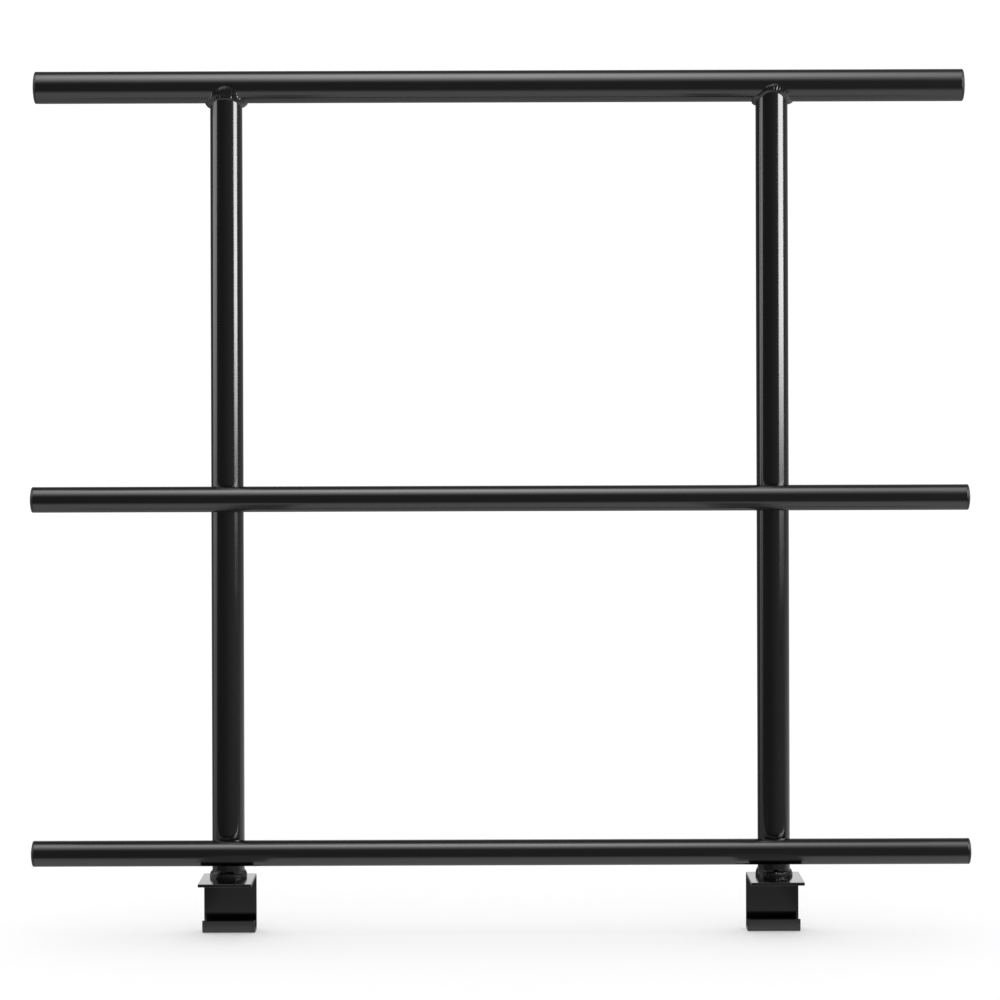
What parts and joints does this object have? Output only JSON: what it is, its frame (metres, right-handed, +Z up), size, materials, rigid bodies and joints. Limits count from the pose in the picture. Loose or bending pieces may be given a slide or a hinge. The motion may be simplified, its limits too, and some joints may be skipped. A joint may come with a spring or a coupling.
{
  "type": "stage guardrail",
  "caption": "Black tubular steel stage guardrail: a round top rail on posts, thinner rails across their front, domed end caps, and bent hook brackets that grip the edge of a deck.",
  "frame": {"origin": "on the underside of the left bracket's top plate, at deck level, on the axis of the left post", "axes": "+X along the rails from the left post to the right one, +Y off the edge of the stage, +Z up"},
  "size_m": [1.2192, 0.092, 1.1287],
  "materials": {
    "frame_paint": "gloss black paint over welded steel tube and plate",
    "cap_plastic": "moulded black plastic"
  },
  "bodies": {
    "root": {"top_rail": "frame_paint", "top_rail_left_cap": "cap_plastic", "top_rail_right_cap": "cap_plastic", "mid_rail": "frame_paint", "mid_rail_left_cap": "cap_plastic", "mid_rail_right_cap": "cap_plastic", "bottom_rail": "frame_paint", "bottom_rail_left_cap": "cap_plastic", "bottom_rail_right_cap": "cap_plastic", "left_post": "frame_paint", "left_hook_bracket": "frame_paint", "left_top_weld": "frame_paint", "left_mid_weld": "frame_paint", "left_bottom_weld": "frame_paint", "left_base_weld": "frame_paint", "right_post": "frame_paint", "right_hook_bracket": "frame_paint", "right_top_weld": "frame_paint", "right_mid_weld": "frame_paint", "right_bottom_weld": "frame_paint", "right_base_weld": "frame_paint"}
  },
  "joints": []
}
